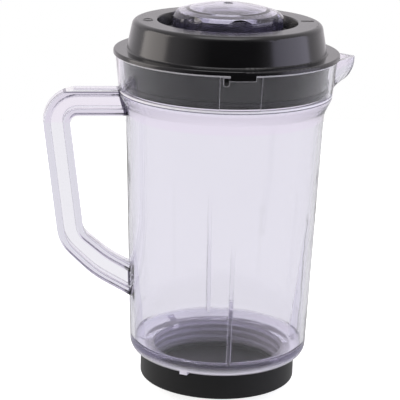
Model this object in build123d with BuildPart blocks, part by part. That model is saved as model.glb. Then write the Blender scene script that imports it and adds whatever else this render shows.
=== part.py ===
from build123d import *
import math
import os

os.makedirs("parts", exist_ok=True)

# Clear blender jar, in millimetres. The axis is +Z, z = 0 is the table, the spout points along +X and the
# handle along -X. The rim's notches and the lid's lugs lie on the Y axis.

# Base cap
base_height = 13.0
base_wall = 2.4
base_floor = 2.0
base_edge = 1.0

# Base seal
base_seal_thickness = 2.0
base_seal_width = 5.6
base_seal_clearance = 0.3

# Jar wall, from the rim down: each width is a step in from the one above it
rim_radius = 55.5
rim_height = 168.9
wall = 2.2
collar_height = 20.0
collar_taper = 2.0
collar_blend = 4.0
flare_height = 7.5
flare_width = 3.55
body_taper = 4.45
body_blend = 12.0
foot_step = 5.5
foot_corner = 6.0
shoulder_gap = 0.2
shoulder_wall = 3.3
shoulder_rise = 4.0
shoulder_blend = 2.5
thread_gap = 2.1
neck_wall = 2.4
ledge_depth = 17.8
ledge_width = 2.4

# Mixing fins inside the jar
fin_count = 4
fin_thickness = 2.0
fin_depth = 5.5
fin_height = 83.0

# Index nubs under the shoulder
nub_count = 3
nub_width = 4.0
nub_length = 3.8
nub_height = 3.0
nub_lift = 0.1
nub_clearance = 0.4

# Spout
spout_length = 9.6
spout_drop = 0.6
spout_lip = 0.8
spout_swell = 13.3
spout_half_width = 15.5
spout_tip_radius = 3.0
spout_sections = 5

# Handle: an I section that follows an outside line of three corners
handle_width = 10.0
handle_flange = 3.7
handle_web = 3.2
handle_edge = 0.9
handle_depth = 13.3
handle_low_depth = 14.6
handle_root_depth = 16.7
handle_drop = 17.3
handle_span = 37.9
handle_top_radius = 17.0
handle_lean = 10.2
handle_bend_radius = 21.5
handle_bend_rise = 16.9
handle_arm_length = 17.3
handle_arm_radius = 60.0
handle_arm_rise = 17.3
handle_root_height = 37.5

# Notches in the rim, measured sideways from the Y axis as seen from outside
notch_right = 6.85
notch_depth = 2.6
hook_end = 5.5
hook_thickness = 1.1
slot_left = 8.5
slot_width = 2.6
slot_depth = 5.1
slot_corner = 1.0
channel_half_angle = 10.8
channel_depth = 0.8

# Lid
lid_wall = 2.0
lid_gap = 0.2
flange_overhang = 1.0
flange_thickness = 2.1
flange_edge = 0.8
crown_inset = 5.6
crown_taper = 2.9
crown_height = 16.7
crown_edge = 3.0
annulus_width = 11.9
well_taper = 1.4
well_depth = 6.8
well_edge = 0.6
skirt_gap = 1.4
skirt_ledge_gap = 0.8
lug_clearance = 0.3

# Lid seal
lid_seal_height = 2.8
lid_seal_foot = 0.9
lid_seal_groove = 0.8
lid_seal_fit = 0.1
lid_seal_clearance = 0.3
lid_seal_round = 1.0

# Filler cap
cap_wall = 1.8
cap_gap = 0.2
cap_grip_ring = 5.7
cap_lean = 0.4
cap_skirt_height = 9.3
cap_ledge_width = 2.1
cap_ledge_rise = 1.9
cap_dome_rise = 4.2
cap_edge = 0.8
flute_count = 7
flute_depth = 1.9
flute_radius = 15.0
flute_start = 18.0
gate_radius = 2.4
gate_depth = 0.5
plug_inset = 4.9
plug_clearance = 0.4
plug_depth = 6.4
tab_count = 2
tab_half_angle = 13.0
tab_reach = 2.4
tab_height = 2.0
tab_clearance = 0.3
tab_side_clearance = 1.5
cap_turn = 60.0
stop_angle = 5.0
stop_height = 2.6

# Widths that follow from the rim
collar_radius = rim_radius - collar_taper
body_top_radius = collar_radius - flare_width
foot_radius = body_top_radius - body_taper
base_radius = foot_radius - foot_step
neck_radius = base_radius - base_wall - thread_gap
neck_bore = neck_radius - neck_wall
spout_reach = rim_radius + spout_length
handle_reach = rim_radius + handle_span
handle_bend_reach = handle_reach - handle_lean
handle_arm_reach = handle_bend_reach - handle_arm_length
flange_radius = rim_radius + flange_overhang
crown_radius = rim_radius - crown_inset
crown_top_radius = crown_radius - crown_taper
well_radius = crown_top_radius - annulus_width
well_floor_radius = well_radius - well_taper
cap_skirt_radius = well_floor_radius - cap_grip_ring
cap_rim_radius = cap_skirt_radius - cap_lean
cap_dome_radius = cap_rim_radius - cap_ledge_width
plug_radius = cap_dome_radius - plug_inset

# Heights that follow from the table and from the rim
neck_end = base_floor + base_seal_thickness
shoulder = base_height + shoulder_gap
floor_edge = shoulder + shoulder_wall
collar_low = rim_height - collar_height
body_top = collar_low - flare_height
ledge_height = rim_height - ledge_depth
spout_top = rim_height - spout_drop
spout_belly = spout_top - spout_lip
spout_root = spout_belly - spout_swell
handle_top = rim_height - handle_drop
handle_arm_height = handle_root_height + handle_arm_rise
handle_bend_height = handle_arm_height + handle_bend_rise
flange_low = rim_height + lid_gap
flange_high = flange_low + flange_thickness
crown_top = flange_low + crown_height
well_floor = crown_top - well_depth
skirt_end = ledge_height + skirt_ledge_gap
cap_low = well_floor + cap_gap
cap_rim = cap_low + cap_skirt_height
cap_shoulder = cap_rim + cap_ledge_rise
cap_top = cap_shoulder + cap_dome_rise
bayonet_hole = plug_radius + plug_clearance
tab_top = well_floor - lid_wall - tab_clearance


def between(height, low, high):
    """Radius at a height on the straight line between two (radius, height) points."""
    share = (height - low[1]) / (high[1] - low[1])
    return low[0] + share * (high[0] - low[0])


def body_outside(height):
    return between(height, (foot_radius, shoulder), (body_top_radius, body_top))


def collar_outside(height):
    return between(height, (collar_radius, collar_low), (rim_radius, rim_height))


def skirt_outside(height):
    return collar_outside(height) - wall - skirt_gap


def corner(sketch, x, y):
    """The sketch's vertex nearest to a point."""
    return sketch.vertices().sort_by_distance((x, y))[0]


def inset_corner(before, here, after, depth):
    """Corner of the line that runs at a depth inside the corner `here` of an outline, to its left."""
    first = (Vector(*here) - Vector(*before)).normalized()
    second = (Vector(*after) - Vector(*here)).normalized()
    bisector = Vector(-first.Y - second.Y, first.X + second.X).normalized()
    stretch = depth / Vector(-first.Y, first.X).dot(bisector)
    return (here[0] + bisector.X * stretch, here[1] + bisector.Y * stretch)


def sector(inner, outer, half_angle):
    """Ring sector about +X."""
    reach = 2 * outer
    side = reach * math.tan(math.radians(half_angle))
    with BuildSketch() as shape:
        with BuildLine():
            Polyline((0, 0), (reach, -side), (reach, side), close=True)
        make_face()
        Circle(outer, mode=Mode.INTERSECT)
        Circle(inner, mode=Mode.SUBTRACT)
    return shape.sketch


def spout_section(height, tip, collar, inset):
    """Beak-shaped face: two straight sides that leave the collar's circle and meet in a rounded tip."""
    half_width = spout_half_width - inset
    tip_radius = spout_tip_radius - inset
    touch = math.sqrt(collar**2 - half_width**2)
    run = tip - tip_radius - touch
    half_angle = math.atan2(half_width, run) - math.asin(tip_radius / math.hypot(half_width, run))
    apex = touch + half_width / math.tan(half_angle)
    with BuildSketch(Plane.XY.offset(height)) as section:
        with BuildLine():
            Polyline(
                (touch - wall, -half_width),
                (touch, -half_width),
                (apex, 0),
                (touch, half_width),
                (touch - wall, half_width),
                close=True,
            )
        make_face()
        fillet(corner(section, apex, 0), radius=tip_radius)
    return section.sketch


def spout_stack(inset, root, top):
    """Sections of a beak whose belly swells as a quarter ellipse out of the wall, then rises straight."""
    stack = []
    for step in range(spout_sections + 1):
        swell = math.radians(90 * step / spout_sections)
        height = spout_belly - (spout_belly - root) * math.cos(swell)
        collar = collar_outside(height) - inset
        start = collar - wall / 2
        tip = start + (spout_reach - inset - start) * math.sin(swell)
        stack.append(spout_section(height, tip, collar, inset))
    stack.append(spout_section(top, spout_reach - inset, collar_outside(top) - inset, inset))
    return stack


# Planes that face the two notches from outside, at the front (-Y) and the back (+Y)
notch_planes = [Plane.XZ, Plane((0, 0, 0), x_dir=(-1, 0, 0), z_dir=(0, 1, 0))]

# Handle outline: outside corners from the top root to the low root, and the inside line at its depths
handle_root = neck_radius
outside = [
    (-handle_root, handle_top),
    (-handle_reach, handle_top),
    (-handle_bend_reach, handle_bend_height),
    (-handle_arm_reach, handle_arm_height),
    (-handle_root, handle_root_height),
]
depths = [handle_depth, handle_depth, handle_low_depth]
radii = [handle_top_radius, handle_bend_radius, handle_arm_radius]
inside = [(-handle_root, handle_top - handle_depth)]
for index, depth in enumerate(depths):
    inside.append(inset_corner(*outside[index : index + 3], depth))
inside.append((-handle_root, handle_root_height + handle_root_depth))
inside_radii = [radius - depth for radius, depth in zip(radii, depths)]

# One mixing fin: a thin tapering blade on the inside of the wall, at +X
fin_foot = floor_edge + shoulder_rise
fin_top = floor_edge + fin_height
fin_back = body_outside(fin_foot) - wall / 2
fin_edge = fin_back - wall / 2 - fin_depth
with BuildPart() as fin:
    with BuildSketch(Plane.XZ):
        with BuildLine():
            Polyline(
                (fin_back, fin_foot),
                (fin_edge, floor_edge),
                (fin_edge, fin_foot),
                (body_outside(fin_top) - wall / 2, fin_top),
                close=True,
            )
        make_face()
    extrude(amount=fin_thickness / 2, both=True)

# Jar body: handle first, so that the wall closes over its roots, then the hollow cut from both
with BuildPart() as jar_body:
    with BuildSketch(Plane.XZ) as handle_side:
        with BuildLine():
            FilletPolyline(*outside, radius=radii)
            FilletPolyline(*inside, radius=inside_radii)
            Line(outside[0], inside[0])
            Line(outside[-1], inside[-1])
        make_face()
    extrude(amount=handle_width / 2, both=True)
    for side in (1, -1):
        with BuildSketch(Plane.XZ.offset(side * handle_web / 2)):
            add(handle_side.sketch_local)
            offset(amount=-handle_flange, mode=Mode.REPLACE)
        extrude(amount=side * handle_width, mode=Mode.SUBTRACT)
    handle_faces = jar_body.faces().sort_by(Axis.Y)
    fillet(handle_faces[0].edges() + handle_faces[-1].edges(), radius=handle_edge)

    with BuildSketch(Plane.XZ) as outside_profile:
        with BuildLine():
            Polyline(
                (0, neck_end),
                (neck_radius, neck_end),
                (neck_radius, shoulder),
                (foot_radius, shoulder),
                (body_top_radius, body_top),
                (collar_radius, collar_low),
                (rim_radius, rim_height),
                (0, rim_height),
                close=True,
            )
        make_face()
        fillet(corner(outside_profile, foot_radius, shoulder), radius=foot_corner)
        fillet(corner(outside_profile, body_top_radius, body_top), radius=body_blend)
        fillet(corner(outside_profile, collar_radius, collar_low), radius=collar_blend)
    revolve(axis=Axis.Z)
    loft(spout_stack(0, spout_root, spout_top))

    ledge_outer = collar_outside(ledge_height) - wall
    floor_outer = body_outside(floor_edge) - wall
    with BuildSketch(Plane.XZ) as hollow_profile:
        with BuildLine():
            Polyline(
                (0, neck_end),
                (neck_bore, neck_end),
                (neck_bore, floor_edge),
                (floor_outer, floor_edge + shoulder_rise),
                (body_top_radius - wall, body_top),
                (ledge_outer - ledge_width, ledge_height),
                (ledge_outer, ledge_height),
                (rim_radius - wall, rim_height),
                (0, rim_height),
                close=True,
            )
        make_face()
        fillet(corner(hollow_profile, floor_outer, floor_edge + shoulder_rise), radius=shoulder_blend)
    revolve(axis=Axis.Z, mode=Mode.SUBTRACT)
    for start in (-90 - channel_half_angle, 90 - channel_half_angle):
        with BuildSketch(Plane.XZ.rotated((0, 0, start))):
            with BuildLine():
                Polyline(
                    (ledge_outer - channel_depth, ledge_height),
                    (ledge_outer + channel_depth, ledge_height),
                    (rim_radius - wall + channel_depth, rim_height),
                    (rim_radius - wall - channel_depth, rim_height),
                    close=True,
                )
            make_face()
        revolve(axis=Axis.Z, revolution_arc=2 * channel_half_angle, mode=Mode.SUBTRACT)
    loft(spout_stack(wall, spout_root + wall, rim_height), mode=Mode.SUBTRACT)

    with PolarLocations(0, fin_count):
        add(fin.part)
    nub_inner = base_radius + nub_clearance
    with BuildSketch(Plane.XY.offset(shoulder + nub_lift)):
        with PolarLocations(nub_inner + nub_length / 2, nub_count):
            Rectangle(nub_length, nub_width)
    extrude(amount=nub_height)

    for plane in notch_planes:
        with BuildSketch(plane.offset(rim_radius - wall - ledge_width)) as notch:
            with BuildLine():
                Polyline(
                    (notch_right, rim_height),
                    (notch_right, rim_height - notch_depth),
                    (-slot_left + slot_width, rim_height - notch_depth),
                    (-slot_left + slot_width, rim_height - slot_depth),
                    (-slot_left, rim_height - slot_depth),
                    (-slot_left, rim_height - hook_thickness),
                    (-hook_end, rim_height - hook_thickness),
                    (-hook_end, rim_height),
                    close=True,
                )
            make_face()
            low_corners = notch.vertices().group_by(Axis.Y)[0]
            fillet(low_corners, radius=slot_corner)
        extrude(amount=2 * ledge_width + wall, mode=Mode.SUBTRACT)

# Lid: shell of revolution with lugs for the notches and a bayonet hole in the well's floor
groove_low = skirt_end + lid_seal_foot
groove_high = groove_low + lid_seal_height
groove_radius = skirt_outside(groove_low) - lid_seal_groove
lug_low = rim_height - notch_depth + lug_clearance
lug_width = notch_right + hook_end - 2 * lug_clearance
lug_middle = (notch_right - hook_end) / 2
tab_edge = bayonet_hole + tab_reach
stop_middle = tab_half_angle + tab_side_clearance + stop_angle / 2
with BuildPart() as lid:
    with BuildSketch(Plane.XZ) as lid_profile:
        with BuildLine():
            Polyline(
                (bayonet_hole, well_floor),
                (well_floor_radius, well_floor),
                (well_radius, crown_top),
                (crown_top_radius, crown_top),
                (crown_radius, flange_high),
                (flange_radius, flange_high),
                (flange_radius, flange_low),
                (skirt_outside(flange_low), flange_low),
                (skirt_outside(groove_high), groove_high),
                (groove_radius, groove_high),
                (groove_radius, groove_low),
                (skirt_outside(groove_low), groove_low),
                (skirt_outside(skirt_end), skirt_end),
                (skirt_outside(skirt_end) - lid_wall, skirt_end),
                (crown_radius - lid_wall, flange_low),
                (crown_top_radius - lid_wall, crown_top - lid_wall),
                (well_radius + lid_wall, crown_top - lid_wall),
                (well_floor_radius + lid_wall, well_floor - lid_wall),
                (bayonet_hole, well_floor - lid_wall),
                close=True,
            )
        make_face()
        fillet(corner(lid_profile, crown_top_radius, crown_top), radius=crown_edge)
        fillet(corner(lid_profile, crown_radius, flange_high), radius=flange_edge)
        fillet(corner(lid_profile, flange_radius, flange_high), radius=flange_edge)
        fillet(corner(lid_profile, well_radius, crown_top), radius=well_edge)
        fillet(corner(lid_profile, well_floor_radius, well_floor), radius=flange_edge)
    revolve(axis=Axis.Z)
    with BuildSketch(Plane.XY.offset(lug_low)):
        with Locations((lug_middle, -rim_radius), (-lug_middle, rim_radius)):
            Rectangle(lug_width, 2 * wall + 2 * skirt_gap + lid_wall)
        Circle(collar_outside(lug_low), mode=Mode.INTERSECT)
        Circle(skirt_outside(lug_low) - lid_wall / 2, mode=Mode.SUBTRACT)
    extrude(amount=flange_low + flange_thickness / 2 - lug_low)
    with BuildSketch(Plane.XY.offset(well_floor)):
        with PolarLocations(0, tab_count, start_angle=cap_turn):
            add(sector(plug_radius, tab_edge + tab_clearance, tab_half_angle + tab_side_clearance))
    extrude(amount=-2 * lid_wall, mode=Mode.SUBTRACT)
    with BuildSketch(Plane.XY.offset(well_floor - lid_wall)):
        with PolarLocations(0, tab_count, start_angle=-stop_middle):
            add(sector(bayonet_hole, tab_edge + lid_wall, stop_angle / 2))
        with PolarLocations(0, tab_count, start_angle=cap_turn + stop_middle):
            add(sector(bayonet_hole, tab_edge + lid_wall, stop_angle / 2))
    extrude(amount=-stop_height)

# Lid seal: soft ring in the groove at the foot of the lid's skirt
lid_seal_low = groove_low + lid_seal_fit
lid_seal_high = groove_high - lid_seal_fit
lid_seal_inner = groove_radius + lid_seal_fit
lid_seal_outer = collar_outside(lid_seal_low) - wall - lid_seal_clearance
with BuildPart() as lid_seal:
    with BuildSketch(Plane.XZ) as ring:
        with BuildLine():
            Polyline(
                (lid_seal_inner, lid_seal_low),
                (lid_seal_outer, lid_seal_low),
                (lid_seal_outer, lid_seal_high),
                (lid_seal_inner, lid_seal_high),
                close=True,
            )
        make_face()
        fillet(ring.vertices().group_by(Axis.X)[-1], radius=lid_seal_round)
    revolve(axis=Axis.Z)

# Filler cap: dome with a fluted skirt outside and a plug with bayonet tabs inside
dome_radius = (cap_dome_radius**2 + cap_dome_rise**2) / (2 * cap_dome_rise)
dome_inside = dome_radius - cap_wall
skirt_bore = cap_skirt_radius - flute_depth - cap_wall
dome_bore = cap_rim_radius - flute_depth - cap_wall
dome_start = cap_top - dome_radius + math.sqrt(dome_inside**2 - dome_bore**2)
flute_lean = math.degrees(math.atan(cap_lean / cap_skirt_height))
flute_middle = cap_skirt_radius - flute_depth + flute_radius
plug_bore = plug_radius - cap_wall
plug_root = cap_top - dome_radius + math.sqrt((dome_radius - cap_wall / 2) ** 2 - plug_bore**2)
plug_end = cap_low - plug_depth
with BuildPart() as filler_cap:
    with BuildSketch(Plane.XZ) as cap_profile:
        with BuildLine():
            Polyline(
                (0, cap_top),
                (0, cap_low),
                (cap_skirt_radius, cap_low),
                (cap_rim_radius, cap_rim),
                (cap_dome_radius, cap_shoulder),
            )
            RadiusArc((cap_dome_radius, cap_shoulder), (0, cap_top), -dome_radius)
        make_face()
        fillet(corner(cap_profile, cap_rim_radius, cap_rim), radius=cap_edge)
    revolve(axis=Axis.Z)
    with PolarLocations(flute_middle, flute_count, start_angle=flute_start):
        with Locations(Location((0, 0, cap_low), (0, -flute_lean, 0))):
            Cylinder(flute_radius, 4 * cap_skirt_height, mode=Mode.SUBTRACT)
    with BuildSketch(Plane.XZ):
        with BuildLine():
            Polyline(
                (0, cap_top - cap_wall),
                (0, cap_low),
                (skirt_bore, cap_low),
                (dome_bore, dome_start),
            )
            RadiusArc((dome_bore, dome_start), (0, cap_top - cap_wall), -dome_inside)
        make_face()
    revolve(axis=Axis.Z, mode=Mode.SUBTRACT)
    with BuildSketch(Plane.XY.offset(plug_end)):
        Circle(plug_radius)
        Circle(plug_bore, mode=Mode.SUBTRACT)
    extrude(amount=plug_root - plug_end)
    with BuildSketch(Plane.XY.offset(tab_top)):
        with PolarLocations(0, tab_count):
            add(sector(plug_radius - cap_wall / 2, tab_edge, tab_half_angle))
    extrude(amount=-tab_height)
    with BuildSketch(Plane.XY.offset(cap_top - gate_depth)):
        Circle(gate_radius)
    extrude(amount=2 * gate_depth, mode=Mode.SUBTRACT)

# Base cap: plain cup that screws over the neck
with BuildPart() as base_cap:
    Cylinder(base_radius, base_height, align=(Align.CENTER, Align.CENTER, Align.MIN))
    fillet(base_cap.edges().group_by(Axis.Z)[0], radius=base_edge)
    fillet(base_cap.edges().group_by(Axis.Z)[-1], radius=base_edge / 2)
    with BuildSketch(Plane.XY.offset(base_floor)):
        Circle(base_radius - base_wall)
    extrude(amount=base_height, mode=Mode.SUBTRACT)

# Base seal: flat ring between the base cap's floor and the end of the neck
base_seal_outer = base_radius - base_wall - base_seal_clearance
with BuildPart() as base_seal:
    with BuildSketch(Plane.XY.offset(base_floor)):
        Circle(base_seal_outer)
        Circle(base_seal_outer - base_seal_width, mode=Mode.SUBTRACT)
    extrude(amount=base_seal_thickness)

pieces = {
    "jar_body": jar_body,
    "lid": lid,
    "lid_seal": lid_seal,
    "filler_cap": filler_cap,
    "base_cap": base_cap,
    "base_seal": base_seal,
}
for name, piece in pieces.items():
    piece.part.label = name
    export_step(piece.part, f"parts/{name}.step")
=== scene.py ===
"""Clear blender jar with a black lid, a fluted filler cap and a screwed-on base cap.

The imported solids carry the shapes. This script gives each of them its finish, adds the
screw threads and the lid's two marks, and sets the stage.
"""

from math import cos, pi, radians, sin

import bmesh
import bpy
from bpy.props import FloatProperty, FloatVectorProperty, IntProperty, PointerProperty
from mathutils import Matrix, Vector


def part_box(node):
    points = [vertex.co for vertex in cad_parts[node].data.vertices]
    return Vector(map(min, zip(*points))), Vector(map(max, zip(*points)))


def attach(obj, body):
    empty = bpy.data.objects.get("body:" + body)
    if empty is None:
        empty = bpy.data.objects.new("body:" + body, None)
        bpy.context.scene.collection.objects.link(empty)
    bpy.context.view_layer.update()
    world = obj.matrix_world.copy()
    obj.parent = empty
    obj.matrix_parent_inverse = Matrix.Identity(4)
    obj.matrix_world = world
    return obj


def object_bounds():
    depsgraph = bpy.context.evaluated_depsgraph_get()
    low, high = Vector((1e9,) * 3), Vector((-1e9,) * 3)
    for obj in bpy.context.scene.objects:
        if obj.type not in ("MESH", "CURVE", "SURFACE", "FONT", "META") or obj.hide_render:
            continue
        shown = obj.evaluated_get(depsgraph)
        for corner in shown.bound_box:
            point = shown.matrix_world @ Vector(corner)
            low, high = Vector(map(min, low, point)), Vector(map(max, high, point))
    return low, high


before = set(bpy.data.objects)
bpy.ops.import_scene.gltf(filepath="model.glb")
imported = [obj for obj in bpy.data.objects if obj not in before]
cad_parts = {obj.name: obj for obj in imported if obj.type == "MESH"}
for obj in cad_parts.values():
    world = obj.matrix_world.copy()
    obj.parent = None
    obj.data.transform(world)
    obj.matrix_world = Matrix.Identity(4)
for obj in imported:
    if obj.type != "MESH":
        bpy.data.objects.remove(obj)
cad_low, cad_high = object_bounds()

bl_info = {
    "name": "Blender jar",
    "version": (1, 0, 0),
    "blender": (4, 5, 0),
    "location": "View3D > Sidebar > Blender jar",
    "description": "Finishes, threads, marks and stage of a clear blender jar",
    "category": "Object",
}

lid_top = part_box("lid")[1].z
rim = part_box("jar_body")[1].z
neck_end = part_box("jar_body")[0].z


def length(name, default, description):
    return FloatProperty(
        name=name, description=description, default=default, min=0.0, unit="LENGTH", precision=5
    )


def span(name, default, description):
    return FloatVectorProperty(
        name=name, description=description, default=default, size=2, unit="LENGTH", precision=5
    )


def level(name, default, description):
    return FloatProperty(name=name, description=description, default=default, min=0.0)


def angle(name, default, description):
    return FloatProperty(name=name, description=description, default=radians(default), unit="ROTATION")


def colour(name, default, description):
    return FloatVectorProperty(
        name=name, description=description, default=default, size=3, min=0.0, max=1.0, subtype="COLOR"
    )


def share(name, default, description):
    return FloatProperty(
        name=name, description=description, default=default, min=0.0, max=1.0, subtype="FACTOR"
    )


class JarFinish(bpy.types.PropertyGroup):
    """Colours and gloss of the jar's materials, with their painted highlights and painted shade"""

    clear_colour: colour("Clear surface", (0.945, 0.936, 0.973), "Tint of light crossing the jar's surface")
    clear_depth: colour("Clear depth", (0.74, 0.73, 0.80), "Tint of light running through the jar's plastic")
    clear_density: level("Clear density", 90.0, "How soon the jar's plastic darkens with depth")
    clear_ior: FloatProperty(
        name="Clear refraction", description="Refractive index of the clear plastic", default=1.52, min=1.0
    )
    # Painted highlights and painted lightness: the pale cut edges, lip, ledge, fins, foot, corner and spout
    # tip stand in for light caught and bent in the clear plastic.
    edges_above: length("Pale edges", 0.1506, "Height above which the jar's cut edges are pale")
    edge_width: length("Edge width", 0.0004, "Width of the pale cut edges")
    edge_highlight_share: share("Edge paleness", 0.75, "How far the jar's cut edges are pale")
    lip: length("Lip", 0.0008, "Depth of the pale lip along the rim")
    lip_highlight_share: share("Lip share", 0.6, "How far the lip is as pale as the cut edges")
    fins_within: length("Fins within", 0.0428, "Distance from the axis within which only the fins lie")
    fin_painted_pallor: share("Fin paleness", 0.12, "How far the mixing fins are pale")
    fin_edge_highlights: share("Fin edges", 0.85, "How far the edges of the mixing fins are pale")
    fin_edge_width: length("Fin edge width", 0.0005, "Width of the pale edges of the mixing fins")
    foot_from: span("Foot", (0.016, 0.019), "Heights between which the jar's thick foot ends")
    foot_painted_pallor: share("Foot paleness", 0.15, "How far the jar's thick foot is pale")
    corner_from: span("Corner", (0.036, 0.0425), "Distances from the axis where the foot's corner starts")
    corner_painted_pallor: share("Corner paleness", 0.5, "How far the foot's outer corner is pale")
    ledge: length("Ledge", 0.1514, "Height of the ledge inside the collar")
    ledge_depth: length("Ledge depth", 0.0009, "Depth of the pale line along the ledge")
    ledge_highlight_share: share("Ledge paleness", 0.85, "How far the ledge inside the collar is pale")
    # Painted shadow: a dark line under the ledge inside the collar.
    shadow_line_depth: length("Line depth", 0.0006, "Depth of the dark line under the ledge")
    shadow_line_from: span("Line", (0.0510, 0.0512), "Distances from the axis where the dark line starts")
    spout_from: span("Spout tip", (0.0605, 0.0640), "Distances towards the spout where its thick tip starts")
    spout_painted_pallor: share("Spout paleness", 0.4, "How far the spout's thick tip is pale")
    # Painted shade: thin dark bands where the handle's two roots meet the wall; the same dark tint paints the
    # shadow line under the ledge.
    upper_shade_band: length("Upper seam", 0.0010, "Half width of the dark seam at the handle's upper root")
    upper_heights: span("Upper root", (0.1380, 0.1520), "Heights of the handle's upper root")
    upper_radii: span("Upper wall", (0.0499, 0.0538), "Outside radii of the wall at those heights")
    lower_shade_band: length("Lower seam", 0.0007, "Half width of the dark seam at the handle's lower root")
    lower_heights: span("Lower root", (0.0375, 0.0560), "Heights of the handle's lower root")
    lower_radii: span("Lower wall", (0.0463, 0.0470), "Outside radii of the wall at those heights")
    shade_reach: length("Seam reach", 0.005, "How far the seams reach to each side of the handle's middle")
    painted_shade_colour: colour("Seams", (0.12, 0.11, 0.15), "Tint of light crossing the dark seams and line")
    cap_colour: colour("Cap surface", (0.985, 0.98, 0.992), "Tint of light crossing the cap's dome")
    # Painted shade: the cap's ledge and skirt are tinted darker than its dome.
    cap_shaded_colour: colour("Cap ledge", (0.72, 0.705, 0.77), "Tint of light crossing its ledge and skirt")
    cap_depth: colour("Cap depth", (0.70, 0.68, 0.84), "Tint of light running through the cap's plastic")
    cap_density: level("Cap density", 140.0, "How soon the cap's plastic darkens with depth")
    cap_dome: span("Cap dome", (0.1896, 0.1904), "Heights between which the cap's dome starts")
    cap_rim: span("Cap rim", (0.1877, 0.1885), "Heights between which the cap's wavy rim starts")
    # Painted lightness down the cap's skirt, and painted highlights on the edges of its flutes.
    skirt_painted_pallor: share("Cap haze", 0.018, "How far the cap's skirt is pale")
    cap_painted_highlights: share("Cap paleness", 0.4, "How far the edges of the cap's flutes are pale")
    lid_colour: colour("Lid", (0.002, 0.002, 0.0023), "Black of the lid's moulding")
    lid_side_roughness: share("Lid side roughness", 0.18, "Roughness of the lid's sides and flange")
    lid_top_roughness: share("Lid top roughness", 0.2, "Roughness of the lid's grained top")
    base_colour: colour("Base cap", (0.005, 0.005, 0.0055), "Black of the base cap's moulding")
    base_roughness: share("Base cap roughness", 0.42, "Roughness of the base cap")
    seal_colour: colour("Seals", (0.014, 0.014, 0.015), "Dark grey of the soft rings")


class JarThread(bpy.types.PropertyGroup):
    """Sizes of the screw thread between the neck and the base cap"""

    neck_radius: length("Neck radius", 0.0355, "Outside radius of the jar's neck")
    cap_bore: length("Cap bore", 0.0376, "Inside radius of the base cap")
    pitch: length("Pitch", 0.004, "Rise of the thread in one turn")
    depth: length("Depth", 0.0012, "Height of the ridge")
    root: length("Root", 0.0017, "Width of the ridge at its foot")
    crest: length("Crest", 0.0007, "Width of the ridge at its top")
    seat: length("Seat", 0.00003, "Gap between the ridge and the wall that carries it")
    start: length("Start", 0.0016, "Height of the first turn above the neck's end")
    turns: FloatProperty(name="Turns", description="Turns of the thread", default=1.5, min=0.1)
    run_out: angle("Run-out", 25, "Angle over which the ridge fades at each end")
    steps: IntProperty(name="Steps", description="Steps of the ridge in one turn", default=96, min=12)


class JarMarks(bpy.types.PropertyGroup):
    """Sizes of the two raised marks on the lid's top"""

    ring_place: length("Ring place", 0.0396, "Distance of the ring from the jar's axis")
    ring_back: length("Ring back", 0.0007, "How far the ring stands behind the jar's middle")
    ring_across: length("Ring across", 0.00235, "Half of the ring's size towards the jar's axis")
    ring_along: length("Ring along", 0.0030, "Half of the ring's size round the jar's axis")
    bar_start: length("Bar start", 0.0369, "Distance of the bar's inner end from the jar's axis")
    bar_end: length("Bar end", 0.0434, "Distance of the bar's outer end from the jar's axis")
    stroke: length("Stroke", 0.0005, "Width of the marks")
    relief: length("Relief", 0.0002, "Height of the marks above the lid's top")
    steps: IntProperty(name="Steps", description="Points round the ring", default=48, min=8)


class JarStage(bpy.types.PropertyGroup):
    """Camera, lamps and backdrop"""

    lens: FloatProperty(name="Lens", description="Focal length of the camera", default=147.12, unit="CAMERA")
    sensor: FloatProperty(name="Sensor", description="Width of its sensor", default=36.0, unit="CAMERA")
    azimuth: angle("Azimuth", -8, "Camera's place round the jar, from the front towards the spout")
    distance: length("Distance", 0.8047, "Camera's level distance from the jar's axis")
    height: length("Height", 0.32036, "Camera's height above the floor")
    tilt: angle("Tilt", 15.787, "How far the camera looks down")
    heading: angle("Heading", 0.797, "How far the camera looks to the left of the jar's axis")
    roll: angle("Roll", 1.652, "Camera's turn about its own line of sight")
    left_light: level("Left softbox", 3.0, "Brightness of the narrow left softbox")
    left_tint: colour("Left tint", (1.0, 0.93, 0.88), "Warm tint of the left softbox")
    right_light: level("Right softbox", 2.1, "Brightness of the broad right softbox")
    right_tint: colour("Right tint", (0.80, 0.77, 1.0), "Cool tint of the right softbox")
    top_light: level("Top softbox", 2.2, "Brightness of the softbox overhead")
    top_tint: colour("Top tint", (1.0, 1.0, 1.0), "White of the softbox overhead")
    fill: share("Fill", 0.45, "Brightness of the room's light on matt surfaces")
    room_tint: colour("Room tint", (1.0, 0.955, 1.0), "Tint of the room, as seen in gloss")
    front_room: share("Front room", 0.09, "Brightness of the room behind the camera, as seen in gloss")
    room_fade: FloatVectorProperty(
        name="Room fade",
        description="Depths of the directions between which the room whitens, as seen in gloss",
        default=(-0.88, -0.35),
        size=2,
    )
    floor_colour: colour("Floor", (0.86, 0.86, 0.86), "White of the floor")
    floor_glow: share("Floor glow", 0.8, "Brightness that the floor shows the camera on top of its own white")
    floor_gloss: share("Floor in gloss", 0.6, "Brightness of the floor round the jar, as seen in gloss")
    floor_fade: span("Floor fade", (-0.35, -0.05), "Depths where the floor brightens, as seen in gloss")
    floor_drop: length("Floor drop", 0.0063, "Room above the floor for the base cap to screw down into")
    floor_size: length("Floor size", 1.2, "Width of the floor")


def new_finish(name):
    """A material with its node tree and its shader."""
    material = bpy.data.materials.new(name)
    material.use_nodes = True
    return material, material.node_tree, material.node_tree.nodes["Principled BSDF"]


def noise(tree, scale, detail=2.0):
    """Noise in the jar's own space: scale counts waves in a metre."""
    place = tree.nodes.get("Place") or tree.nodes.new("ShaderNodeTexCoord")
    place.name = "Place"
    texture = tree.nodes.new("ShaderNodeTexNoise")
    texture.inputs["Scale"].default_value = scale
    texture.inputs["Detail"].default_value = detail
    tree.links.new(place.outputs["Object"], texture.inputs["Vector"])
    return texture.outputs["Fac"]


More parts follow.
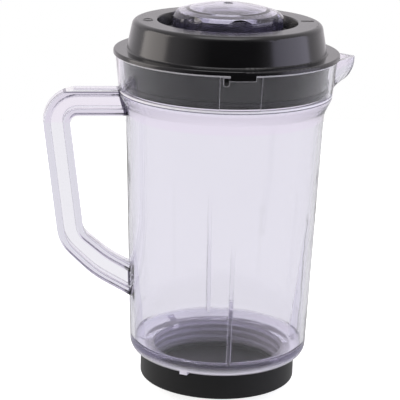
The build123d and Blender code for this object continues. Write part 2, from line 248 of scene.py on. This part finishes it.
def ranged(tree, value, low, high, start=0.0, end=1.0):
    """The value between start and end, mapped to low and high."""
    node = tree.nodes.new("ShaderNodeMapRange")
    node.inputs["From Min"].default_value = start
    node.inputs["From Max"].default_value = end
    node.inputs["To Min"].default_value = low
    node.inputs["To Max"].default_value = high
    tree.links.new(value, node.inputs["Value"])
    return node.outputs["Result"]


def combined(tree, operation, first, *others):
    """Values joined one after another by a math operation."""
    for other in others:
        node = tree.nodes.new("ShaderNodeMath")
        node.operation = operation
        for socket, value in zip(node.inputs, (first, other)):
            if isinstance(value, (int, float)):
                socket.default_value = value
            else:
                tree.links.new(value, socket)
        first = node.outputs["Value"]
    return first


def toned(tree, value, dark, light):
    """A colour between two tones."""
    node = tree.nodes.new("ShaderNodeMix")
    node.data_type = "RGBA"
    node.inputs["A"].default_value = (*dark, 1)
    node.inputs["B"].default_value = (*light, 1)
    tree.links.new(value, node.inputs["Factor"])
    return node.outputs["Result"]


def bumped(tree, shader, height, distance):
    """Lets a height raise the shader's surface by a distance."""
    node = tree.nodes.new("ShaderNodeBump")
    node.inputs["Distance"].default_value = distance
    tree.links.new(height, node.inputs["Height"])
    tree.links.new(node.outputs["Normal"], shader.inputs["Normal"])


def split(tree, vector):
    """The X, Y and Z outputs of a vector."""
    parts = tree.nodes.new("ShaderNodeSeparateXYZ")
    tree.links.new(vector, parts.inputs["Vector"])
    return parts.outputs


def in_jar(tree):
    """The X, Y and Z of the place in the jar's own space: X runs from the handle to the spout."""
    return split(tree, tree.nodes.new("ShaderNodeTexCoord").outputs["Object"])


def height_above(tree, low, high):
    """Nothing below the low height and one above the high one."""
    return ranged(tree, in_jar(tree)["Z"], 0, 1, low, high)


def band(tree, low, high, blend=0.0001):
    """One between two heights, each of them blended upwards."""
    above = height_above(tree, low, low + blend)
    return combined(tree, "SUBTRACT", above, height_above(tree, high, high + blend))


def near(tree, value, middle, reach):
    """One where a value is within reach of a middle."""
    inside = combined(tree, "COMPARE", value, middle)
    inside.node.inputs[2].default_value = reach
    return inside


def facing_up(tree):
    """One on level faces, nothing on upright ones."""
    geometry = tree.nodes.new("ShaderNodeNewGeometry")
    upright, level_face = 0.5, 0.95
    return ranged(tree, split(tree, geometry.outputs["Normal"])["Z"], 0, 1, upright, level_face)


def vector_of(tree, operation, first, second=None):
    """A vector, or two joined, by a vector operation: the node's outputs."""
    node = tree.nodes.new("ShaderNodeVectorMath")
    node.operation = operation
    tree.links.new(first, node.inputs[0])
    if isinstance(second, tuple):
        node.inputs[1].default_value = second
    elif second is not None:
        tree.links.new(second, node.inputs[1])
    return node.outputs


def radius_of(tree):
    """Distance from the jar's axis."""
    place = tree.nodes.new("ShaderNodeTexCoord").outputs["Object"]
    outwards = vector_of(tree, "MULTIPLY", place, (1, 1, 0))["Vector"]
    return vector_of(tree, "LENGTH", outwards)["Value"]


def cut_edges(tree, low, width, blend=0.0003):
    """One along the sharp edges above a height, such as those of the rim, its notches and the ledge."""
    normal = tree.nodes.new("ShaderNodeNewGeometry").outputs["Normal"]
    rounded = tree.nodes.new("ShaderNodeBevel")
    rounded.samples = 6
    rounded.inputs["Radius"].default_value = width
    turned = vector_of(tree, "DOT_PRODUCT", rounded.outputs["Normal"], normal)["Value"]
    sharp, flat = 0.85, 0.98
    edges = ranged(tree, combined(tree, "ABSOLUTE", turned, 0), 1, 0, sharp, flat)
    return combined(tree, "MULTIPLY", edges, height_above(tree, low, low + blend))


def jar_painted_highlights(tree, finish):
    """Painted highlights and painted lightness on the jar's clear plastic: how far it is pale at its lip, cut
    edges, ledge, fins, thick foot and spout's tip, standing in for light caught and bent there.
    """
    # Painted highlights along the lip, the cut edges and the ledge.
    full_lip = 0.8 * finish.lip
    lip = height_above(tree, rim - finish.lip, rim - full_lip)
    edges = cut_edges(tree, finish.edges_above, finish.edge_width)
    edges = combined(tree, "MAXIMUM", combined(tree, "MULTIPLY", lip, finish.lip_highlight_share), edges)
    edges = combined(tree, "MULTIPLY", edges, finish.edge_highlight_share)
    ledge = band(tree, finish.ledge - finish.ledge_depth, finish.ledge)
    ledge = combined(tree, "MULTIPLY", ledge, finish.ledge_highlight_share)

    # Painted lightness on the fins, their edges, the thick foot, its corner and the spout's tip.
    radius = radius_of(tree)
    above_foot = height_above(tree, *finish.foot_from)
    fin_blend = 0.0005
    inside = finish.fins_within - fin_blend, finish.fins_within
    fins = combined(tree, "MULTIPLY", ranged(tree, radius, finish.fin_painted_pallor, 0, *inside), above_foot)
    fin_edge_highlights = cut_edges(tree, finish.foot_from[1], finish.fin_edge_width)
    fin_edge_highlights = combined(tree, "MULTIPLY", ranged(tree, radius, finish.fin_edge_highlights, 0, *inside), fin_edge_highlights)
    corner = ranged(tree, radius, finish.foot_painted_pallor, finish.corner_painted_pallor, *finish.corner_from)
    foot = combined(tree, "MULTIPLY", combined(tree, "SUBTRACT", 1, above_foot), corner)
    spout = ranged(tree, in_jar(tree)["X"], 0, finish.spout_painted_pallor, *finish.spout_from)
    return combined(tree, "MAXIMUM", edges, ledge, spout, fins, fin_edge_highlights, foot)


def root_painted_shade(tree, width, reach, heights, radii):
    """Painted shade on the handle's faces next to the wall, whose outside radii at two heights are given."""
    place = in_jar(tree)
    normal = split(tree, tree.nodes.new("ShaderNodeTexCoord").outputs["Normal"])
    low, high = heights
    wall = ranged(tree, place["Z"], *radii, low, high)
    across, along = 0.3, 0.5
    handle_side = -0.01, 0.0
    return combined(
        tree,
        "MULTIPLY",
        near(tree, combined(tree, "SUBTRACT", radius_of(tree), wall), 0, width),
        near(tree, place["Z"], (low + high) / 2, (high - low) / 2),
        near(tree, place["Y"], 0, reach),
        ranged(tree, combined(tree, "ABSOLUTE", normal["X"], 0), 1, 0, across, along),
        ranged(tree, place["X"], 1, 0, *handle_side),
    )


def jar_tint_and_shade(tree, finish):
    """The jar's tint, with painted shade: dark in a painted shadow line under the ledge and in thin bands of
    painted shade where the handle's two roots meet the wall.
    """
    reach = finish.shade_reach
    upper = root_painted_shade(tree, finish.upper_shade_band, reach, finish.upper_heights, finish.upper_radii)
    lower = root_painted_shade(tree, finish.lower_shade_band, reach, finish.lower_heights, finish.lower_radii)
    # Painted shadow line under the ledge, and painted shade at the handle's roots.
    line_top = finish.ledge - finish.ledge_depth
    line = band(tree, line_top - finish.shadow_line_depth, line_top)
    line = combined(tree, "MULTIPLY", line, ranged(tree, radius_of(tree), 0, 1, *finish.shadow_line_from))
    dark = combined(tree, "MAXIMUM", upper, lower, line)
    return toned(tree, dark, finish.clear_colour, finish.painted_shade_colour)


def cap_painted_highlights(tree, finish):
    """Painted highlights and painted lightness on the filler cap's plastic: how far it is pale on its rim and
    the edges of its flutes, and faintly down its skirt.
    """
    edges = combined(tree, "MULTIPLY", cut_edges(tree, 0, finish.edge_width), finish.cap_painted_highlights)
    # Painted lightness, faint, down the skirt below the wavy rim.
    skirt = combined(tree, "SUBTRACT", 1, height_above(tree, *finish.cap_rim))
    return combined(tree, "MAXIMUM", edges, combined(tree, "MULTIPLY", skirt, finish.skirt_painted_pallor))


def cap_tint_and_shade(tree, finish):
    """The filler cap's tint, which deepens from its dome to its ledge: painted shade on the ledge and skirt.
    """
    return toned(tree, height_above(tree, *finish.cap_dome), finish.cap_shaded_colour, finish.cap_colour)


def clear_plastic(name, finish, tone, depth_tone, density, painted_brightening, tones):
    """Glossy clear plastic with slow moulding waves, which darkens where it is thick."""
    material, tree, shader = new_finish(name)
    # Base colour: the plastic's tint, with the painted shade that tones adds to it.
    tree.links.new(tones(tree, finish), shader.inputs["Base Color"])
    shader.inputs["IOR"].default_value = finish.clear_ior
    waves = noise(tree, scale=45)
    tree.links.new(ranged(tree, waves, low=0.01, high=0.05), shader.inputs["Roughness"])
    # Painted highlights and painted lightness: less light goes through, and the plastic shows pale, where the
    # painted paleness mask is high.
    clear = combined(tree, "SUBTRACT", 1, painted_brightening(tree, finish))
    tree.links.new(clear, shader.inputs["Transmission Weight"])
    bumped(tree, shader, waves, distance=0.00015)
    lamp_ray = tree.nodes.new("ShaderNodeLightPath")
    passed = tree.nodes.new("ShaderNodeBsdfTransparent")
    passed.inputs["Color"].default_value = (*tone, 1)
    surface = tree.nodes.new("ShaderNodeMixShader")
    tree.links.new(lamp_ray.outputs["Is Shadow Ray"], surface.inputs[0])
    tree.links.new(shader.outputs[0], surface.inputs[1])
    tree.links.new(passed.outputs[0], surface.inputs[2])
    depth = tree.nodes.new("ShaderNodeVolumeAbsorption")
    depth.inputs["Color"].default_value = (*depth_tone, 1)
    depth.inputs["Density"].default_value = density
    output = tree.nodes["Material Output"]
    tree.links.new(surface.outputs[0], output.inputs["Surface"])
    tree.links.new(depth.outputs[0], output.inputs["Volume"])
    return material


def mottled(tree, shader, patches, tone, lift, specular):
    """Varies the shader's tone, up to a lift, in patches, and sets its specular level."""
    light = [lift * part for part in tone]
    tree.links.new(toned(tree, patches, tone, light), shader.inputs["Base Color"])
    shader.inputs["Specular IOR Level"].default_value = specular


def lid_plastic(name, finish):
    """Black plastic, half gloss on its sides and flange and finely grained on its top."""
    material, tree, shader = new_finish(name)
    crown_depth, crown_blend = 0.006, 0.004
    crown = height_above(tree, lid_top - crown_depth, lid_top - crown_depth + crown_blend)
    top = combined(tree, "MULTIPLY", facing_up(tree), crown)
    patches = noise(tree, scale=60, detail=3)
    mottled(tree, shader, patches, finish.lid_colour, lift=2.0, specular=0.4)
    gloss = ranged(tree, top, finish.lid_side_roughness, finish.lid_top_roughness)
    rough = combined(tree, "ADD", gloss, ranged(tree, patches, low=-0.03, high=0.05))
    tree.links.new(rough, shader.inputs["Roughness"])
    grain = combined(tree, "MULTIPLY", noise(tree, scale=2600), ranged(tree, top, low=0.1, high=0.6))
    bumped(tree, shader, grain, distance=0.00004)
    return material


def satin_plastic(name, tone, roughness):
    """Black satin plastic with a fine even grain."""
    material, tree, shader = new_finish(name)
    patches = noise(tree, scale=80, detail=3)
    mottled(tree, shader, patches, tone, lift=1.8, specular=0.3)
    rough = ranged(tree, patches, low=roughness - 0.05, high=roughness + 0.06)
    tree.links.new(rough, shader.inputs["Roughness"])
    bumped(tree, shader, noise(tree, scale=3200), distance=0.00003)
    return material


def soft_rubber(name, tone):
    """Matt dark rubber with a bloom of dust."""
    material, tree, shader = new_finish(name)
    bloom = noise(tree, scale=140, detail=4)
    mottled(tree, shader, bloom, tone, lift=2.4, specular=0.25)
    tree.links.new(ranged(tree, bloom, low=0.6, high=0.85), shader.inputs["Roughness"])
    bumped(tree, shader, noise(tree, scale=1800), distance=0.00004)
    return material


def dress(node, material):
    """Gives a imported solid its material."""
    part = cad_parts[node]
    part.data.materials.clear()
    part.data.materials.append(material)


def new_piece(name, mesh, material, body):
    """A new piece from a bmesh, which rides on a body."""
    bmesh.ops.recalc_face_normals(mesh, faces=mesh.faces)
    data = bpy.data.meshes.new(name)
    mesh.to_mesh(data)
    mesh.free()
    data.materials.append(material)
    piece = bpy.data.objects.new(name, data)
    bpy.context.scene.collection.objects.link(piece)
    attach(piece, body)
    return piece


def joined_rings(mesh, rings, closed):
    """Faces between neighbouring rings of points, with ends where the row isn't closed."""
    loops = [[mesh.verts.new(point) for point in ring] for ring in rings]
    pairs = list(zip(loops, loops[1:] + loops[:1] if closed else loops[1:]))
    for before, after in pairs:
        for here in range(len(before)):
            there = (here + 1) % len(before)
            mesh.faces.new((before[here], before[there], after[there], after[here]))
    if not closed:
        mesh.faces.new(loops[0])
        mesh.faces.new(loops[-1])


def thread_ridge(sizes, foot, height_sign, start):
    """A helical ridge that stands on a round wall: height_sign is 1 outwards and -1 inwards."""
    mesh = bmesh.new()
    count = int(sizes.turns * sizes.steps)
    end = 2 * pi * count / sizes.steps
    thinnest, shoulder_share = 0.04, 0.8
    corner = 0.1 * sizes.root
    half_root, half_crest = sizes.root / 2, sizes.crest / 2
    low = foot + height_sign * sizes.seat
    rings = []
    for step in range(count + 1):
        turn = 2 * pi * step / sizes.steps
        fade = min(1.0, turn / sizes.run_out, (end - turn) / sizes.run_out)
        fade = thinnest + (1 - thinnest) * fade * fade * (3 - 2 * fade)
        middle = start + sizes.pitch * turn / (2 * pi)
        high = low + height_sign * sizes.depth * fade
        shoulder = low + shoulder_share * (high - low)
        profile = [
            (low, -half_root),
            (low, half_root),
            (shoulder, half_crest + corner),
            (high, half_crest - corner),
            (high, corner - half_crest),
            (shoulder, -half_crest - corner),
        ]
        rings.append([(radius * cos(turn), radius * sin(turn), middle + rise) for radius, rise in profile])
    joined_rings(mesh, rings, closed=False)
    return mesh


def relief_profile(sizes):
    """Section of a raised mark across its line: (sideways, up)."""
    half = sizes.stroke / 2
    half_top = 0.75 * half
    return [(-half, 0.0), (half, 0.0), (half_top, sizes.relief), (-half_top, sizes.relief)]


class BLENDERJAR_OT_jar_body(bpy.types.Operator):
    """Give the clear jar its plastic"""

    bl_idname = "blender_jar.jar_body"
    bl_label = "Jar body"

    def execute(self, context):
        finish = context.scene.jar_finish
        tones = finish.clear_colour, finish.clear_depth, finish.clear_density
        dress("jar_body", clear_plastic("jar_clear_plastic", finish, *tones, jar_painted_highlights, jar_tint_and_shade))
        return {"FINISHED"}


class BLENDERJAR_OT_lid(bpy.types.Operator):
    """Give the lid its black plastic"""

    bl_idname = "blender_jar.lid"
    bl_label = "Lid"

    def execute(self, context):
        dress("lid", lid_plastic("lid_black_plastic", context.scene.jar_finish))
        return {"FINISHED"}


class BLENDERJAR_OT_lid_marks(bpy.types.Operator):
    """Raise the ring and the bar on the lid's top, which show where it is open and shut"""

    bl_idname = "blender_jar.lid_marks"
    bl_label = "Lid marks"

    def execute(self, context):
        sizes = context.scene.jar_marks
        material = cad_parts["lid"].data.materials[0]
        section = relief_profile(sizes)
        ring = bmesh.new()
        rings = []
        for step in range(sizes.steps):
            turn = 2 * pi * step / sizes.steps
            rings.append(
                [
                    (
                        -sizes.ring_place + (sizes.ring_across + side) * cos(turn),
                        sizes.ring_back + (sizes.ring_along + side) * sin(turn),
                        lid_top + up,
                    )
                    for side, up in section
                ]
            )
        joined_rings(ring, rings, closed=True)
        new_piece("lid_mark_ring", ring, material, "lid")

        bar = bmesh.new()
        taper = sizes.stroke / 2
        full, tip = 1.0, 0.4
        stations = [
            (sizes.bar_start, tip),
            (sizes.bar_start + taper, full),
            (sizes.bar_end - taper, full),
            (sizes.bar_end, tip),
        ]
        rings = [[(along, wide * side, lid_top + up) for side, up in section] for along, wide in stations]
        joined_rings(bar, rings, closed=False)
        new_piece("lid_mark_bar", bar, material, "lid")
        return {"FINISHED"}


class BLENDERJAR_OT_filler_cap(bpy.types.Operator):
    """Give the filler cap its clear plastic"""

    bl_idname = "blender_jar.filler_cap"
    bl_label = "Filler cap"

    def execute(self, context):
        finish = context.scene.jar_finish
        tones = finish.cap_colour, finish.cap_depth, finish.cap_density
        dress("filler_cap", clear_plastic("cap_clear_plastic", finish, *tones, cap_painted_highlights, cap_tint_and_shade))
        return {"FINISHED"}


class BLENDERJAR_OT_base_cap(bpy.types.Operator):
    """Give the base cap its satin plastic"""

    bl_idname = "blender_jar.base_cap"
    bl_label = "Base cap"

    def execute(self, context):
        finish = context.scene.jar_finish
        dress("base_cap", satin_plastic("base_satin_plastic", finish.base_colour, finish.base_roughness))
        return {"FINISHED"}


class BLENDERJAR_OT_threads(bpy.types.Operator):
    """Cut the screw thread: a clear ridge on the neck and a black one in the base cap"""

    bl_idname = "blender_jar.threads"
    bl_label = "Threads"

    def execute(self, context):
        sizes = context.scene.jar_thread
        start = neck_end + sizes.start
        neck = thread_ridge(sizes, sizes.neck_radius, 1, start)
        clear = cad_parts["jar_body"].data.materials[0]
        new_piece("neck_thread", neck, clear, "jar")
        cap = thread_ridge(sizes, sizes.cap_bore, -1, start - sizes.pitch / 2)
        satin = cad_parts["base_cap"].data.materials[0]
        new_piece("base_cap_thread", cap, satin, "base_cap")
        return {"FINISHED"}


class BLENDERJAR_OT_seals(bpy.types.Operator):
    """Give the two sealing rings their rubber"""

    bl_idname = "blender_jar.seals"
    bl_label = "Seals"

    def execute(self, context):
        rubber = soft_rubber("seal_rubber", context.scene.jar_finish.seal_colour)
        dress("lid_seal", rubber)
        dress("base_seal", rubber)
        return {"FINISHED"}


def softbox(name, brightness, tint, azimuth, elevation, distance, width, height):
    """A rectangular lamp that looks at the jar: brightness is that of its face."""
    azimuth, elevation = radians(azimuth), radians(elevation)
    lamp = bpy.data.lights.new(name, "AREA")
    lamp.shape = "RECTANGLE"
    lamp.size = width
    lamp.size_y = height
    lamp.energy = brightness * pi * width * height
    lamp.color = tint
    holder = bpy.data.objects.new(name, lamp)
    bpy.context.scene.collection.objects.link(holder)
    side = Vector((sin(azimuth) * cos(elevation), -cos(azimuth) * cos(elevation), sin(elevation)))
    middle = (cad_low + cad_high) / 2
    holder.location = Vector((0, 0, middle.z)) + distance * side
    holder.rotation_euler = (-side).to_track_quat("-Z", "Y").to_euler()
    holder.visible_camera = False
    holder.visible_transmission = False
    return holder


class BLENDERJAR_OT_stage(bpy.types.Operator):
    """Set the floor, the white room, the softboxes and the camera"""

    bl_idname = "blender_jar.stage"
    bl_label = "Stage"

    def execute(self, context):
        scene = context.scene
        stage = scene.jar_stage
        self.floor(stage)
        self.room(scene, stage)
        low = {"elevation": 14, "distance": 1.2, "height": 1.0}
        high = {"elevation": 78, "distance": 1.4, "height": 1.0}
        softbox("left_softbox", stage.left_light, stage.left_tint, azimuth=-101, width=0.85, **low)
        softbox("right_softbox", stage.right_light, stage.right_tint, azimuth=73, width=1.2, **low)
        softbox("top_softbox", stage.top_light, stage.top_tint, azimuth=-20, width=1.0, **high)
        self.camera(scene, stage)
        scene.view_settings.view_transform = "Standard"
        return {"FINISHED"}

    def floor(self, stage):
        mesh = bmesh.new()
        bmesh.ops.create_grid(mesh, x_segments=8, y_segments=8, size=stage.floor_size / 2)
        data = bpy.data.meshes.new("floor")
        mesh.to_mesh(data)
        mesh.free()
        floor = bpy.data.objects.new("floor", data)
        floor.location.z = cad_low.z - stage.floor_drop
        bpy.context.scene.collection.objects.link(floor)
        material, tree, shader = new_finish("floor_white")
        shader.inputs["Base Color"].default_value = (*stage.floor_colour, 1)
        shader.inputs["Roughness"].default_value = 0.9
        shader.inputs["Specular IOR Level"].default_value = 0
        shader.inputs["Emission Color"].default_value = (1, 1, 1, 1)
        path = tree.nodes.new("ShaderNodeLightPath")
        glow = combined(tree, "MULTIPLY", path.outputs["Is Camera Ray"], stage.floor_glow)
        tree.links.new(glow, shader.inputs["Emission Strength"])
        place = tree.nodes.new("ShaderNodeNewGeometry")
        backwards = split(tree, place.outputs["Position"])["Y"]
        gloss = ranged(tree, backwards, stage.front_room, stage.floor_gloss, *stage.floor_fade)
        glossy, transmitted = path.outputs["Is Glossy Ray"], path.outputs["Is Transmission Ray"]
        shown = tree.nodes.new("ShaderNodeEmission")
        brightness = combined(tree, "MAXIMUM", transmitted, combined(tree, "MULTIPLY", glossy, gloss))
        tree.links.new(brightness, shown.inputs["Strength"])
        surface = tree.nodes.new("ShaderNodeMixShader")
        through = combined(tree, "MAXIMUM", glossy, transmitted)
        tree.links.new(through, surface.inputs[0])
        tree.links.new(shader.outputs[0], surface.inputs[1])
        tree.links.new(shown.outputs[0], surface.inputs[2])
        tree.links.new(surface.outputs[0], tree.nodes["Material Output"].inputs["Surface"])
        data.materials.append(material)

    def room(self, scene, stage):
        world = bpy.data.worlds.new("white_room")
        scene.world = world
        world.use_nodes = True
        tree = world.node_tree
        path = tree.nodes.new("ShaderNodeLightPath")
        place = tree.nodes.new("ShaderNodeTexCoord")
        backwards = split(tree, place.outputs["Generated"])["Y"]
        glossy = path.outputs["Is Glossy Ray"]
        lit = ranged(tree, backwards, stage.front_room, 1.0, *stage.room_fade)
        lit = combined(tree, "MULTIPLY", glossy, lit)
        dull = combined(tree, "MULTIPLY", combined(tree, "SUBTRACT", 1.0, glossy), stage.fill)
        lit = combined(tree, "ADD", lit, dull)
        shown = combined(tree, "MAXIMUM", path.outputs["Is Camera Ray"], path.outputs["Is Transmission Ray"])
        strength = combined(tree, "MAXIMUM", lit, shown)
        background = tree.nodes["Background"]
        tint = toned(tree, glossy, (1, 1, 1), stage.room_tint)
        tree.links.new(tint, background.inputs["Color"])
        tree.links.new(strength, background.inputs["Strength"])

    def camera(self, scene, stage):
        data = bpy.data.cameras.new("camera")
        data.lens = stage.lens
        data.sensor_width = stage.sensor
        camera = bpy.data.objects.new("camera", data)
        scene.collection.objects.link(camera)
        camera.matrix_world = (
            Matrix.Rotation(stage.azimuth, 4, "Z")
            @ Matrix.Translation((0, -stage.distance, stage.height))
            @ Matrix.Rotation(stage.heading, 4, "Z")
            @ Matrix.Rotation(pi / 2 - stage.tilt, 4, "X")
            @ Matrix.Rotation(stage.roll, 4, "Z")
        )
        scene.camera = camera


operators = [
    BLENDERJAR_OT_jar_body,
    BLENDERJAR_OT_lid,
    BLENDERJAR_OT_lid_marks,
    BLENDERJAR_OT_filler_cap,
    BLENDERJAR_OT_base_cap,
    BLENDERJAR_OT_threads,
    BLENDERJAR_OT_seals,
    BLENDERJAR_OT_stage,
]


groups = {"jar_finish": JarFinish, "jar_thread": JarThread, "jar_marks": JarMarks, "jar_stage": JarStage}


class BLENDERJAR_PT_panel(bpy.types.Panel):
    """The jar's pieces and the stage"""

    bl_idname = "BLENDERJAR_PT_panel"
    bl_label = "Blender jar"
    bl_space_type = "VIEW_3D"
    bl_region_type = "UI"
    bl_category = "Blender jar"

    def draw(self, context):
        for operator in operators:
            self.layout.operator(operator.bl_idname)
        for group, kind in groups.items():
            box = self.layout.box()
            for name in kind.__annotations__:
                box.prop(getattr(context.scene, group), name)


def register():
    for name, group in groups.items():
        bpy.utils.register_class(group)
        setattr(bpy.types.Scene, name, PointerProperty(type=group))
    for item in [*operators, BLENDERJAR_PT_panel]:
        bpy.utils.register_class(item)


def unregister():
    for item in [BLENDERJAR_PT_panel, *reversed(operators)]:
        bpy.utils.unregister_class(item)
    for name, group in groups.items():
        delattr(bpy.types.Scene, name)
        bpy.utils.unregister_class(group)


def main():
    register()
    bpy.ops.blender_jar.jar_body()
    bpy.ops.blender_jar.lid()
    bpy.ops.blender_jar.lid_marks()
    bpy.ops.blender_jar.filler_cap()
    bpy.ops.blender_jar.base_cap()
    bpy.ops.blender_jar.threads()
    bpy.ops.blender_jar.seals()
    bpy.ops.blender_jar.stage()


if __name__ == "__main__":
    main()
